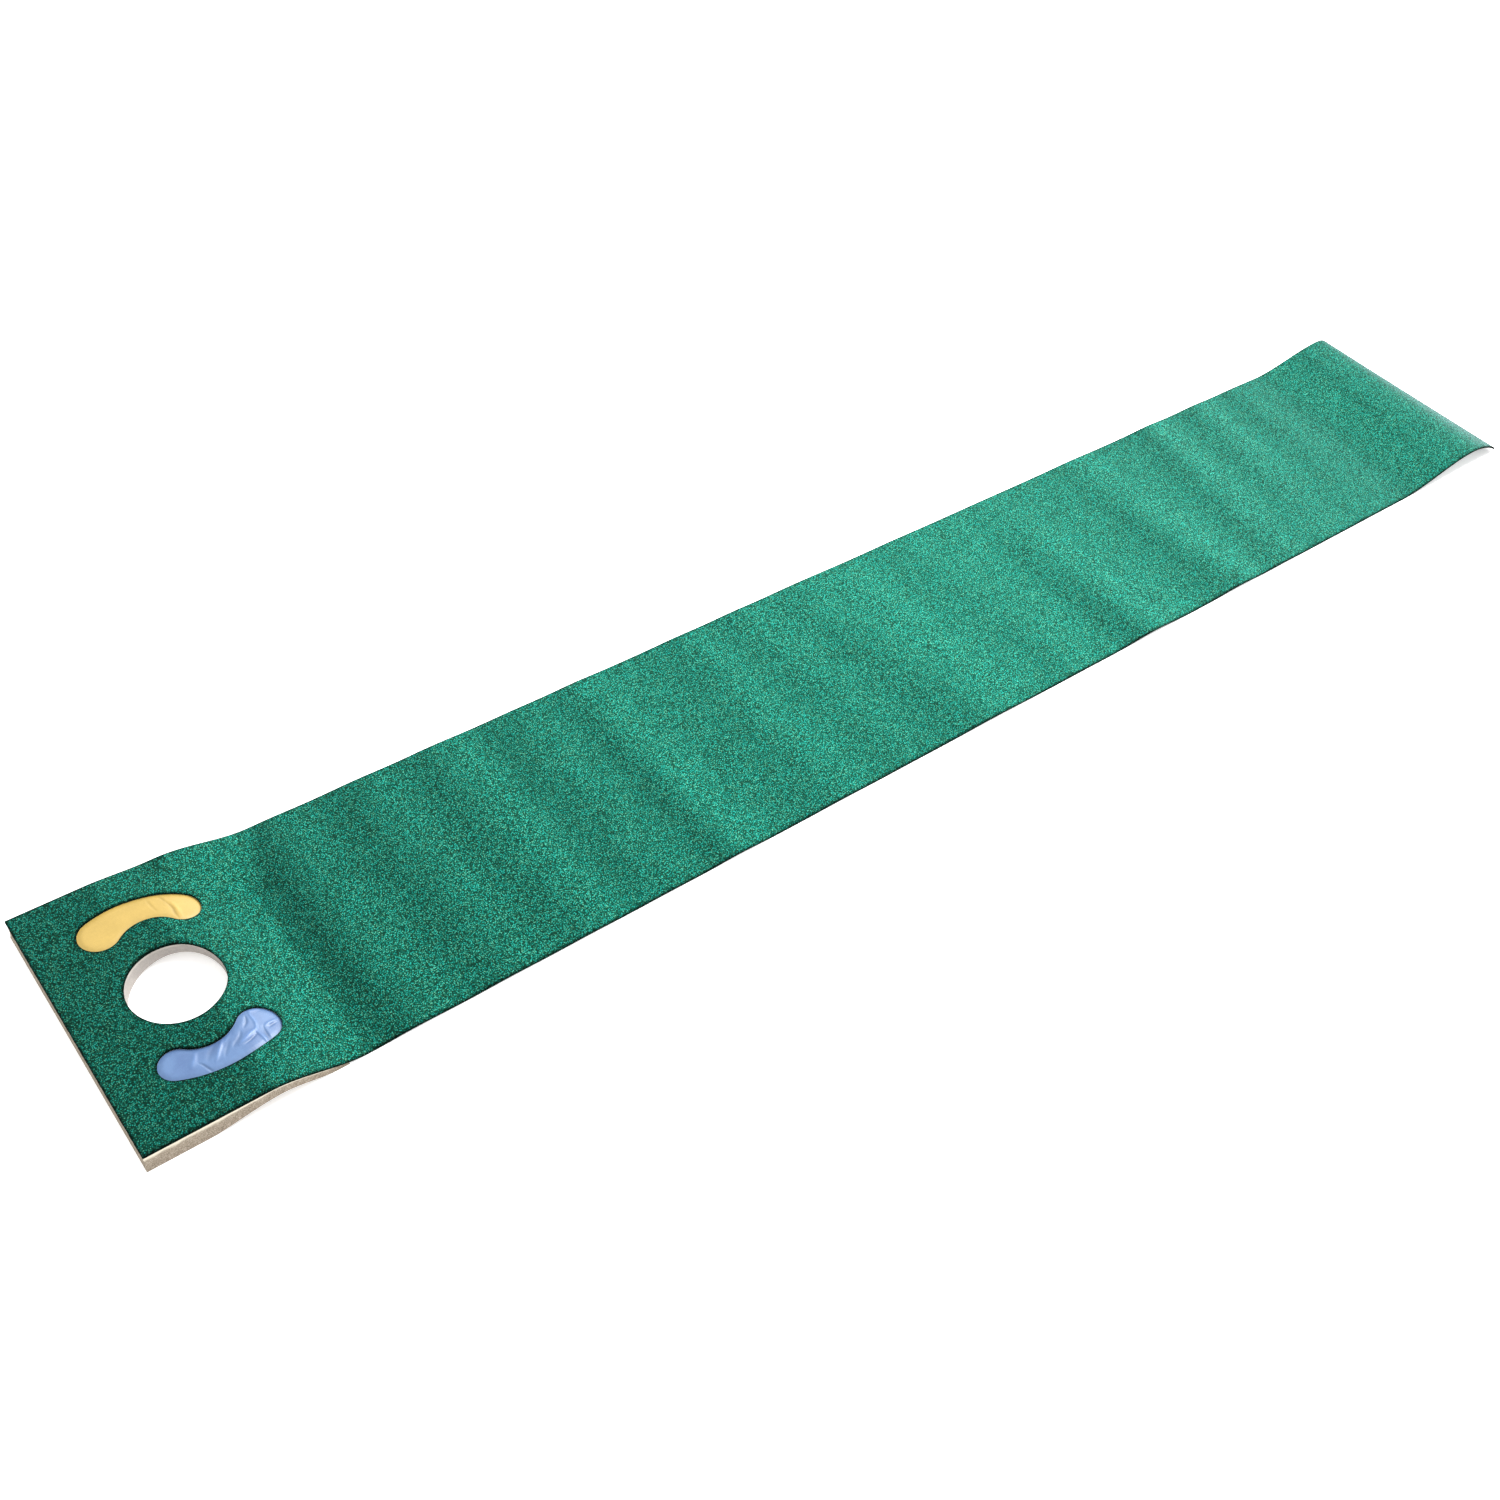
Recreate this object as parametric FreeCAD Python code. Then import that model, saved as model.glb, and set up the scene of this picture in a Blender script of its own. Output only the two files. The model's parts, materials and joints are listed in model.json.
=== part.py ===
"""Indoor putting mat: a long felt strip, propped on a foam pad with a golf hole at one end.

Millimetres. X runs along the mat, from the hole end (-X) to the player's end (+X), Y across it and
Z up. The origin is on the floor, under the middle of the mat. Inside the functions, x is measured
from the hole end, and place() moves each finished piece to the mat's own origin.
"""

import FreeCAD, Part
import math
import os

# The felt strip as it lies on the floor.
MAT_LENGTH = 1967.0
MAT_WIDTH = 300.0
FELT_THICKNESS = 3.0

# The foam pad under the hole end, with the thin film of glue that holds it to the felt.
FOAM_THICKNESS = 21.0
FOAM_LENGTH = 190.0
FOAM_BEVEL_START = 62.0  # the underside is cut away from here to the toe
FOAM_ARCH_PEAK = 126.0  # where the bevelled underside stands highest off the floor
FOAM_ARCH_HEIGHT = 9.5
FOAM_BEVEL_LIFT = 0.3  # how soon the bevel rises, as a share of the arch's height
FOAM_TOE_LANDING = 180.0  # where the thin toe bends down to the floor again
GLUE_THICKNESS = 0.2
GLUE_INSET = 2.0

# The felt comes down from the pad to the floor between these two places.
RAMP_START = 116.0
RAMP_END = 210.0

# The player's end has kept some curl from being rolled up: it lifts, crests and droops.
CURL_START = 1755.0
CURL_CREST = 1910.0
CURL_HEIGHT = 22.5
CURL_TIP_HEIGHT = 4.0
CURL_TIP_SLOPE = -0.6

# The golf hole goes through the felt, the glue and the foam.
HOLE_SETBACK = 98.0
HOLE_RADIUS = 45.0

# One kidney-shaped die cuts both hazard windows: a small lobe and a large lobe, joined by an outer
# arc on the side away from the hole and an inner arc on the side that faces it.
LOBE_SPACING = 77.0
SMALL_LOBE_RADIUS = 17.0
LARGE_LOBE_RADIUS = 20.0
OUTER_ARC_RADIUS = 110.0
INNER_ARC_RADIUS = 36.0
WATER_WINDOW = (100.5, -80.5, 1.2)  # x and y of the middle, and the die's turn in degrees
SAND_WINDOW = (102.3, 84.6, 174.0)

# The coloured patches under the windows are cut larger than them and glued to the felt all round.
PATCH_THICKNESS = 0.3
PATCH_MARGIN = 10.0
PATCH_GLUE_THICKNESS = 0.1

PAD_HEIGHT = FOAM_THICKNESS + GLUE_THICKNESS
TALL = 100.0  # longer than any piece is high, for cutting right through


def side_profile():
    """The felt's underside seen from the side: (start x, end x, four heights of a cubic)."""
    tip_span = (MAT_LENGTH - CURL_CREST) / 3
    before_tip = CURL_TIP_HEIGHT - CURL_TIP_SLOPE * tip_span
    return [
        (0.0, RAMP_START, (PAD_HEIGHT,) * 4),
        (RAMP_START, RAMP_END, (PAD_HEIGHT, PAD_HEIGHT, 0.0, 0.0)),
        (RAMP_END, CURL_START, (0.0,) * 4),
        (CURL_START, CURL_CREST, (0.0, 0.0, CURL_HEIGHT, CURL_HEIGHT)),
        (CURL_CREST, MAT_LENGTH, (CURL_HEIGHT, CURL_HEIGHT, before_tip, CURL_TIP_HEIGHT)),
    ]


def side_point(x, z):
    """A point in the mat's side view, on the mat's -Y edge."""
    return FreeCAD.Vector(x, -MAT_WIDTH / 2, z)


def line(start, end):
    return Part.LineSegment(start, end).toShape()


def height_curve(start, end, heights):
    """A curve between two places whose height is a cubic, given by its four control heights."""
    step = (end - start) / 3
    curve = Part.BezierCurve()
    curve.setPoles([side_point(start + i * step, height) for i, height in enumerate(heights)])
    return curve


def surface_edges(x_from, x_to, offset):
    """The felt's underside between two places, raised by offset, as edges in order."""
    edges = []
    for start, end, heights in side_profile():
        low = max(start, x_from)
        high = min(end, x_to)
        if high <= low:
            continue
        if len(set(heights)) == 1:
            height = heights[0] + offset
            edges.append(line(side_point(low, height), side_point(high, height)))
            continue
        curve = height_curve(start, end, [height + offset for height in heights])
        edges.append(curve.toShape((low - start) / (end - start), (high - start) / (end - start)))
    return edges


def ends_of(edges):
    """The first and last points of a chain of edges that runs along +X."""
    return edges[0].valueAt(edges[0].FirstParameter), edges[-1].valueAt(edges[-1].LastParameter)


def extrude_across(edges, inset=0.0):
    """A solid from a closed side view, as wide as the mat less an inset on each side."""
    wire = Part.Wire(Part.__sortEdges__(edges))
    face = Part.Face(wire)
    face.translate(FreeCAD.Vector(0, inset, 0))
    return face.extrude(FreeCAD.Vector(0, MAT_WIDTH - 2 * inset, 0))


def layer(x_from, x_to, low, high, inset=0.0):
    """A sheet that follows the felt's underside, between two heights measured from it."""
    lower = surface_edges(x_from, x_to, low)
    upper = surface_edges(x_from, x_to, high)
    lower_start, lower_end = ends_of(lower)
    upper_start, upper_end = ends_of(upper)
    sides = [line(lower_end, upper_end), line(upper_start, lower_start)]
    return extrude_across(lower + upper + sides, inset)


def prism(wire):
    """A tall solid over a flat outline, which reaches below and above the mat."""
    face = Part.Face(wire)
    face.translate(FreeCAD.Vector(0, 0, -TALL / 2))
    return face.extrude(FreeCAD.Vector(0, 0, TALL))


def hole_cutter(clearance=0.0):
    base = FreeCAD.Vector(HOLE_SETBACK, 0, -TALL / 2)
    return Part.makeCylinder(HOLE_RADIUS + clearance, TALL, base)


def centre_from_lobes(small_distance, large_distance, side):
    """The point at two distances from the lobes' centres, on the +1 or -1 side of them."""
    along = (small_distance**2 - large_distance**2 + LOBE_SPACING**2) / (2 * LOBE_SPACING)
    across = math.sqrt(small_distance**2 - along**2)
    return along - LOBE_SPACING / 2, side * across


def angle_of(start, end):
    return math.atan2(end[1] - start[1], end[0] - start[0])


def arc(centre, radius, first, last):
    """An arc from one angle to another, in radians."""
    points = []
    for angle in (first, (first + last) / 2, last):
        x = centre[0] + radius * math.cos(angle)
        y = centre[1] + radius * math.sin(angle)
        points.append(FreeCAD.Vector(x, y, 0))
    return Part.Arc(*points).toShape()


def kidney(margin):
    """The die's outline, grown by a margin: four arcs that meet smoothly."""
    small = (-LOBE_SPACING / 2, 0.0)
    large = (LOBE_SPACING / 2, 0.0)
    outer_to_small = OUTER_ARC_RADIUS - SMALL_LOBE_RADIUS
    outer_to_large = OUTER_ARC_RADIUS - LARGE_LOBE_RADIUS
    outer = centre_from_lobes(outer_to_small, outer_to_large, 1)
    inner_to_small = INNER_ARC_RADIUS + SMALL_LOBE_RADIUS
    inner_to_large = INNER_ARC_RADIUS + LARGE_LOBE_RADIUS
    inner = centre_from_lobes(inner_to_small, inner_to_large, 1)
    outer_small = angle_of(outer, small)
    outer_large = angle_of(outer, large)
    inner_small = angle_of(inner, small)
    inner_large = angle_of(inner, large)
    half_turn = math.pi
    edges = [
        arc(outer, OUTER_ARC_RADIUS + margin, outer_small, outer_large),
        arc(large, LARGE_LOBE_RADIUS + margin, outer_large, inner_large + half_turn),
        arc(inner, INNER_ARC_RADIUS - margin, inner_large, inner_small),
        arc(small, SMALL_LOBE_RADIUS + margin, inner_small + half_turn, outer_small + 2 * half_turn),
    ]
    return Part.Wire(Part.__sortEdges__(edges))


def window_cutter(window, margin=0.0):
    """The die, turned and moved to a window, as a tall solid."""
    x, y, turn = window
    outline = kidney(margin)
    outline.rotate(FreeCAD.Vector(0, 0, 0), FreeCAD.Vector(0, 0, 1), turn)
    outline.translate(FreeCAD.Vector(x, y, 0))
    return prism(outline)


def felt_length(x_from, x_to):
    """One length of the green strip, before anything is cut in it.

    The strip is one sheet of felt. It is made in three lengths that meet face to face: the end that
    rises over the pad, the flat run, and the end that has kept a curl.
    """
    return layer(x_from, x_to, 0.0, FELT_THICKNESS)


def felt_hole_end():
    """The raised length, with the hole, the windows and the places that the patches press into."""
    felt = felt_length(0.0, RAMP_END).cut(hole_cutter())
    pocket = layer(0.0, RAMP_END, 0.0, PATCH_THICKNESS + PATCH_GLUE_THICKNESS)
    for window in (WATER_WINDOW, SAND_WINDOW):
        felt = felt.cut(window_cutter(window))
        felt = felt.cut(pocket.common(window_cutter(window, PATCH_MARGIN)))
    return felt


def foam_pad():
    """The foam block: flat on the floor, bevelled away below, and bent down at its thin toe."""
    top = surface_edges(0.0, FOAM_LENGTH, -GLUE_THICKNESS)
    top_start, top_end = ends_of(top)
    heel = side_point(0.0, 0.0)
    bevel = side_point(FOAM_BEVEL_START, 0.0)
    landing = side_point(FOAM_TOE_LANDING, 0.0)
    toe = side_point(FOAM_LENGTH, 0.0)
    peak = FOAM_ARCH_HEIGHT
    rise = height_curve(FOAM_BEVEL_START, FOAM_ARCH_PEAK, (0.0, FOAM_BEVEL_LIFT * peak, peak, peak))
    fall = height_curve(FOAM_ARCH_PEAK, FOAM_TOE_LANDING, (peak, peak, 0.0, 0.0))
    bottom = [line(heel, bevel), rise.toShape(), fall.toShape(), line(landing, toe)]
    ends = [line(toe, top_end), line(top_start, heel)]
    return extrude_across(bottom + top + ends).cut(hole_cutter())


def foam_glue():
    """The film of glue between the foam and the felt, kept a little inside both."""
    film = layer(GLUE_INSET, FOAM_LENGTH - GLUE_INSET, -GLUE_THICKNESS, 0.0, GLUE_INSET)
    return film.cut(hole_cutter(GLUE_INSET))


def patch(window):
    """A coloured patch that follows the pad's surface under its window."""
    sheet = layer(0.0, RAMP_END, 0.0, PATCH_THICKNESS)
    return sheet.common(window_cutter(window, PATCH_MARGIN))


def patch_glue(window):
    """The band of glue between a patch's margin and the felt."""
    band = layer(0.0, RAMP_END, PATCH_THICKNESS, PATCH_THICKNESS + PATCH_GLUE_THICKNESS)
    return band.common(window_cutter(window, PATCH_MARGIN)).cut(window_cutter(window))


def place(shape):
    """The finished piece, moved to the mat's own origin."""
    shape.translate(FreeCAD.Vector(-MAT_LENGTH / 2, 0, 0))
    return shape.removeSplitter()


def main():
    pieces = {
        "felt_strip_hole_end": felt_hole_end(),
        "felt_strip_run": felt_length(RAMP_END, CURL_START),
        "felt_strip_curl": felt_length(CURL_START, MAT_LENGTH),
        "foam_pad": foam_pad(),
        "foam_glue": foam_glue(),
        "water_patch": patch(WATER_WINDOW),
        "sand_patch": patch(SAND_WINDOW),
        "water_patch_glue": patch_glue(WATER_WINDOW),
        "sand_patch_glue": patch_glue(SAND_WINDOW),
    }
    os.makedirs("parts", exist_ok=True)
    for name, shape in pieces.items():
        finished = place(shape)
        finished.exportStep(os.path.join("parts", name + ".step"))
        box = finished.BoundBox
        size = f"{box.XLength:.1f} x {box.YLength:.1f} x {box.ZLength:.2f} mm"
        print(f"{name}: {size}, {len(finished.Solids)} solid, valid {finished.isValid()}")


main()
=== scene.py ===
"""Indoor putting mat: needle-punched felt over a foam pad, with satin sand and water patches.

Metres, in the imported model's frame: +X runs from the hole end to the player's end, +Y towards the
sand patch and +Z up. Inside the shape functions, x is measured from the hole end.
"""
import json
import math

import bpy
import numpy as np
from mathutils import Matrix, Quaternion, Vector, noise
from mathutils.geometry import delaunay_2d_cdt
from mathutils.kdtree import KDTree


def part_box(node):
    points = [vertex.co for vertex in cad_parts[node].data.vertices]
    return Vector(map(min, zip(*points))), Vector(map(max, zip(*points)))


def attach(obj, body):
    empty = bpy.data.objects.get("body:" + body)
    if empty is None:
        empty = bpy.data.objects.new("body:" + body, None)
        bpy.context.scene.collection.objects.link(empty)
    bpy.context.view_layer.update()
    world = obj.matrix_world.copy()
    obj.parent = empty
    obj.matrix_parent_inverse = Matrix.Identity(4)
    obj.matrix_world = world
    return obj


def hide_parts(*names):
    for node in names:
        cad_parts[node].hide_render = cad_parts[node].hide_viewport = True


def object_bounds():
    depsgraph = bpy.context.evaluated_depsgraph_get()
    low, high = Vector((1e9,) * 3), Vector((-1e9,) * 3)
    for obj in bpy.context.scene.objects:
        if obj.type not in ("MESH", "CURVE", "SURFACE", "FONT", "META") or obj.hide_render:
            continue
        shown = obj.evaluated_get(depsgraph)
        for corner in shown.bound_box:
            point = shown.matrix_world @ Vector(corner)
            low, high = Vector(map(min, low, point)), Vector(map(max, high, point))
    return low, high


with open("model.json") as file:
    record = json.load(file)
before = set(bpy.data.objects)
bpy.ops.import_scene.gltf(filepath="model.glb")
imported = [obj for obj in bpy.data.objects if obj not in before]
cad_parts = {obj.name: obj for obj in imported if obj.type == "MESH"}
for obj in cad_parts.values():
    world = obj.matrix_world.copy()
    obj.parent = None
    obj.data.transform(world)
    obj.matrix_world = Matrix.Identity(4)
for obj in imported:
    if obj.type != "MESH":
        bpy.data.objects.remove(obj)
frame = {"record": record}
cad_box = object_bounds()

MM = 0.001

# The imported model's own sizes.
HOLE_END = cad_box[0].x
MAT_LENGTH = cad_box[1].x - cad_box[0].x
MAT_WIDTH = cad_box[1].y - cad_box[0].y
FELT_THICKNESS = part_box("felt_strip_run")[1].z
PAD_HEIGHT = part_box("felt_strip_hole_end")[1].z - FELT_THICKNESS
RAMP_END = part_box("felt_strip_hole_end")[1].x - HOLE_END
CURL_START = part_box("felt_strip_curl")[0].x - HOLE_END
CURL_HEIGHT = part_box("felt_strip_curl")[1].z - FELT_THICKNESS
GLUE_THICKNESS = PAD_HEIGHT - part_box("foam_pad")[1].z
FOAM_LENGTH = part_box("foam_pad")[1].x - HOLE_END
golf_hole = next(m for m in frame["record"]["mounts"] if m["name"] == "golf_hole")
HOLE_CENTRE = np.array([golf_hole["pos_m"][0] - HOLE_END, golf_hole["pos_m"][1]])
HOLE_RADIUS = golf_hole["dims"]["r_mm"] * MM

# The rise over the pad. At the sand edge it comes down earlier, in two steps, each with its start,
# its length and its share of the height.
RAMP_START = 116 * MM
SAND_STEPS = ((75 * MM, 60 * MM, 0.18), (145 * MM, 100 * MM, 0.82))
SAND_EDGE_BAND = 80 * MM  # how far in from the sand edge that reaches

# The curl at the player's end, at the water edge and at the sand edge: it rises, crests and droops.
CURL_STARTS = (CURL_START + 5 * MM, CURL_START + 50 * MM)
CURL_CRESTS = (1903 * MM, 1940 * MM)
CURL_HEIGHTS = (CURL_HEIGHT, CURL_HEIGHT - 3.5 * MM)
CURL_TIPS = (3.5 * MM, 7 * MM)

# Soft ripples left by the roll: where each crosses the water edge and the sand edge, how high it
# stands at those edges, and its half width, all in millimetres.
RIPPLES = (
    (262, 258, 1.6, 1.6, 40),
    (362, 358, 1.4, 1.6, 42),
    (448, 448, 1.2, 1.6, 38),
    (545, 548, 0.8, 0.7, 36),
    (632, 628, 1.8, 1.2, 30),
    (768, 770, 0.9, 0.9, 34),
    (868, 850, 0.5, 1.2, 34),
    (1000, 945, 1.8, 1.4, 60),
    (1140, 1100, 0.6, 0.6, 40),
    (1262, 1250, 3.4, 0.2, 42),
    (1422, 1418, 2.6, 1.0, 40),
    (1512, 1572, 1.2, 1.8, 34),
    (1600, 1668, 0.6, 1.6, 36),
    (1690, 1752, 0.5, 0.9, 34),
)
RIPPLES_FADE_IN = (205 * MM, 245 * MM)

# Painted bands of light and shade across the strip: where each crosses the two edges, how much
# brighter it is at those edges, and its half width in millimetres.
LIGHT_AND_SHADE_BANDS = (
    (234, 234, 0.00, -0.12, 18),
    (480, 478, 0.05, 0.12, 10),
    (507, 510, -0.02, -0.14, 14),
    (632, 632, 0.09, 0.06, 14),
    (900, 900, -0.08, 0.03, 42),
    (958, 952, -0.03, 0.09, 12),
    (1032, 1038, 0.06, 0.09, 14),
    (1185, 1198, 0.08, 0.09, 18),
    (1305, 1312, -0.13, -0.05, 14),
    (1466, 1476, -0.02, -0.11, 18),
    (1552, 1555, -0.03, -0.09, 12),
    (1590, 1600, 0.08, 0.02, 14),
    (1682, 1680, 0.06, 0.08, 10),
    (1732, 1732, -0.03, -0.10, 12),
    (1780, 1780, 0.10, -0.04, 12),
    (1812, 1815, -0.04, -0.06, 7),
    (1838, 1898, -0.18, -0.16, 8),
    (1862, 1852, 0.05, 0.08, 11),
    (1908, 1928, 0.08, 0.10, 14),
    (1967, 1967, -0.75, -0.78, 17),
)
# Painted light and shade on the felt's top: its brightness follows the slope of the strip.
SLOPE_SHADE_STRENGTH = 5.0  # change in brightness for a slope of 1
SLOPE_SHADE_LIMIT = 0.32  # the most that a slope changes it
PAINTED_SHADE_ON_PAD = -0.22  # painted shade on the pad's flat top
SLOPE_SHADE_ON_CURL = 0.1  # this share of the painted slope shading is left on the curl
SLOPE_SHADE_CURL_FADE = 60 * MM

# The felt's cut edges, worn round, with painted shade along them: how far in from the edge, how far
# below the surface and the change in brightness, with both sizes in millimetres.
FELT_EDGE = ((0.0, 0.6, -0.70), (0.35, 0.22, -0.60), (1.2, 0.05, -0.45), (2.6, 0.0, -0.08))
POCKET_STEP = 0.4 * MM  # width of the step in the felt's underside round a patch

# The foam pad's bevelled underside, and how far its cut face bows in.
FOAM_BEVEL_START = 62 * MM
FOAM_ARCH_PEAK = 126 * MM
FOAM_ARCH_HEIGHT = 9.5 * MM
FOAM_BEVEL_LIFT = 0.3
FOAM_TOE_LANDING = 180 * MM
FOAM_BOW = 1.2 * MM
GLUE_INSET = 2 * MM

# The kidney die that cuts both windows, and the margin of the patches under them.
LOBE_SPACING = 77 * MM
SMALL_LOBE_RADIUS = 17 * MM
LARGE_LOBE_RADIUS = 20 * MM
OUTER_ARC_RADIUS = 110 * MM
INNER_ARC_RADIUS = 36 * MM
PATCH_MARGIN = 10 * MM
PATCH_THICKNESS = 0.3 * MM
PATCH_GLUE_THICKNESS = 0.1 * MM
PATCH_PUFF = 0.8 * MM  # how far the satin bulges up in its window
PATCH_PUFF_EDGE = 6 * MM  # how far in from the window's edge it reaches that
WATER = {"node": "water_patch", "turn": math.radians(1.2)}
SAND = {"node": "sand_patch", "turn": math.radians(174.0)}
WINDOWS = (WATER, SAND)

# Wrinkles in the patches: start, end, height (below 0 for a crease) and half width, in millimetres
# from the middle of the hole end.
WATER_WRINKLES = (
    ((80, -78), (71, -93), 0.7, 2.6),
    ((107, -77), (91, -96), 1.0, 2.0),
    ((114, -76), (104, -84), 0.5, 1.6),
    ((135, -82), (115, -92), 1.5, 2.3),
    ((138, -62), (135, -84), 0.8, 1.4),
    ((135, -84), (137, -102), 0.9, 1.3),
    ((135, -61), (147, -63), 0.7, 2.2),
    ((144, -84), (157, -80), 1.1, 1.8),
    ((78, -90), (86, -104), -1.1, 1.0),
    ((97, -79), (86, -92), -0.5, 2.6),
    ((110, -84), (98, -97), -0.5, 1.6),
    ((123, -80), (110, -91), -0.7, 1.8),
    ((133, -66), (127, -78), -1.0, 1.2),
    ((135, -88), (119, -94), -0.8, 1.1),
    ((142, -83), (138, -102), -1.0, 1.3),
    ((146, -88), (156, -84), -0.7, 1.0),
)
SAND_WRINKLES = (
    ((116, 106), (118, 86), -0.4, 1.1),
    ((126, 107), (131, 92), -0.6, 1.1),
    ((131, 93), (132, 69), -1.0, 1.2),
    ((135, 92), (136, 70), 0.4, 1.6),
)
WRINKLE_STRAY = 2.4 * MM  # how far a wrinkle strays from its straight line
WRINKLE_STRAY_LENGTH = 13 * MM
WRINKLE_FADE = 2 * MM  # how far in from the window's edge a wrinkle is at full height
# Painted light and shade on the satin: lighter on the wrinkles' ridges and darker in their creases.
WRINKLE_SHADE = 0.26  # change in brightness for each millimetre of a wrinkle's height
WRINKLE_SHADE_LIMITS = (-0.4, 0.3)
RIM_INSETS = (0.2 * MM, 1.2 * MM)  # lines inside the window's edge that the satin's mesh follows
RIM_SHADE = 0.22  # painted highlight: change in brightness along the window's edge
RIM_WIDTH = 1.2 * MM

# How far apart a mesh's points are: along straight edges, along curved ones and between them.
STRAIGHT_SPACING = 4 * MM
FOAM_SPACING = 3 * MM
CURVE_SPACING = 1.5 * MM
HIDDEN_SPACING = 2 * MM
FILL_SPACING = 3.6 * MM
GLUE_FILL_SPACING = 5 * MM
BAND_FILL_SPACING = 3 * MM
SATIN_SPACING = 0.95 * MM
DIE_SPACING = 1 * MM

# How far inside a window a point is gets measured in steps, and points on the very edge are outside.
DEPTH_STEP = 0.5 * MM
DEPTH_STEPS = 25
EDGE_CLEARANCE = 0.1 * MM


# ---------------------------------------------------------------- shape of the surfaces

def ease(t):
    """A smooth step: 0 up to t = 0, and 1 from t = 1."""
    t = np.clip(t, 0.0, 1.0)
    return t * t * (3.0 - 2.0 * t)


def between(pair, share):
    """From the first of a pair to the second, by a share from 0 to 1."""
    return pair[0] + (pair[1] - pair[0]) * share


def bezier(t, a, b, c, d):
    """A cubic between two heights, from its four control heights."""
    s = 1.0 - t
    return s * s * s * a + 3 * s * s * t * b + 3 * s * t * t * c + t * t * t * d


def sand_share(y):
    """How near the sand edge a place is: 0 at the water edge and 1 at the sand edge."""
    return np.clip(y / MAT_WIDTH + 0.5, 0.0, 1.0)


def pad_rise(x, y):
    """How high the felt is held by the pad and its ramp."""
    water = 1.0 - ease((x - RAMP_START) / (RAMP_END - RAMP_START))
    sand = 1.0 - sum(share * ease((x - start) / length) for start, length, share in SAND_STEPS)
    near_sand_edge = ease((y - MAT_WIDTH / 2 + SAND_EDGE_BAND) / SAND_EDGE_BAND)
    return PAD_HEIGHT * between((water, sand), near_sand_edge)


def curl_rise(x, y):
    """How high the curl lifts the felt."""
    share = sand_share(y)
    start = between(CURL_STARTS, share)
    crest = between(CURL_CRESTS, share)
    height = between(CURL_HEIGHTS, share)
    tip = between(CURL_TIPS, share)
    rise = height * ease((x - start) / (crest - start))
    past = np.clip((x - crest) / (MAT_LENGTH - crest), 0.0, 1.0)
    return rise - (height - tip) * past**2


def ripple_rise(x, y):
    """How high the soft ripples lift the felt."""
    share = sand_share(y)
    rise = np.zeros_like(x)
    for at_water, at_sand, high_water, high_sand, half_width in RIPPLES:
        middle = between((at_water, at_sand), share) * MM
        height = between((high_water, high_sand), share) * MM
        rise += height * np.exp(-(((x - middle) / (half_width * MM)) ** 2))
    fade_from, fade_to = RIPPLES_FADE_IN
    return rise * ease((x - fade_from) / (fade_to - fade_from))


def felt_under(x, y):
    """Height of the felt's underside."""
    return pad_rise(x, y) + curl_rise(x, y) + ripple_rise(x, y)


def painted_light_and_shade(x, y):
    """Painted light and shade on the felt: paler where the strip falls away from the hole end, darker where
    it rises.
    """
    step = 1 * MM
    fall = (felt_under(x - step, y) - felt_under(x + step, y)) / (2 * step)
    on_pad = PAINTED_SHADE_ON_PAD * (1.0 - ease((x - RAMP_START) / (RAMP_END - RAMP_START)))
    share = between((1.0, SLOPE_SHADE_ON_CURL), ease((x - CURL_START) / SLOPE_SHADE_CURL_FADE))
    painted_shading = on_pad + share * SLOPE_SHADE_LIMIT * np.tanh(SLOPE_SHADE_STRENGTH * fall / SLOPE_SHADE_LIMIT)
    across = sand_share(y)
    for at_water, at_sand, bright_water, bright_sand, half_width in LIGHT_AND_SHADE_BANDS:
        middle = between((at_water, at_sand), across) * MM
        bright = between((bright_water, bright_sand), across)
        painted_shading += bright * np.exp(-(((x - middle) / (half_width * MM)) ** 2))
    return painted_shading


def foam_under(x):
    """Height of the foam's underside: flat at the heel, arched by the bevel, flat at the toe."""
    rise = np.clip((x - FOAM_BEVEL_START) / (FOAM_ARCH_PEAK - FOAM_BEVEL_START), 0.0, 1.0)
    arch = bezier(rise, 0.0, FOAM_BEVEL_LIFT, 1.0, 1.0)
    fall = ease((x - FOAM_ARCH_PEAK) / (FOAM_TOE_LANDING - FOAM_ARCH_PEAK))
    return FOAM_ARCH_HEIGHT * arch * (1.0 - fall)


def wrinkle_rise(x, y, wrinkles):
    """Height of a patch's wrinkles: each is a ridge that tapers away at both ends."""
    rise = np.zeros_like(x)
    for start, end, height, half_width in wrinkles:
        start = np.array(start) * MM
        run = np.array(end) * MM - start
        length = np.hypot(*run)
        along = ((x - start[0]) * run[0] + (y - start[1]) * run[1]) / length**2
        across = ((x - start[0]) * run[1] - (y - start[1]) * run[0]) / length
        taper = np.sin(math.pi * np.clip(along * 0.9 + 0.05, 0.0, 1.0)) ** 0.7
        width = half_width * MM * (0.35 + 0.65 * taper)
        rise += height * MM * taper * np.exp(-((across / width) ** 2))
    return rise


# ---------------------------------------------------------------- outlines in plan

def arc_points(centre, radius, first, last, spacing):
    """Points along an arc, without its last one."""
    count = max(4, round(abs(last - first) * radius / spacing))
    angles = np.linspace(first, last, count, endpoint=False)
    return centre + radius * np.column_stack((np.cos(angles), np.sin(angles)))


def circle(centre, radius, spacing):
    return arc_points(centre, radius, 0.0, 2 * math.pi, spacing)


def centre_from_lobes(small_distance, large_distance):
    """The point at two distances from the lobes' centres, on the die's inner side."""
    along = (small_distance**2 - large_distance**2 + LOBE_SPACING**2) / (2 * LOBE_SPACING)
    return np.array([along - LOBE_SPACING / 2, math.sqrt(small_distance**2 - along**2)])


def angle_of(start, end):
    return math.atan2(end[1] - start[1], end[0] - start[0])


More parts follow.
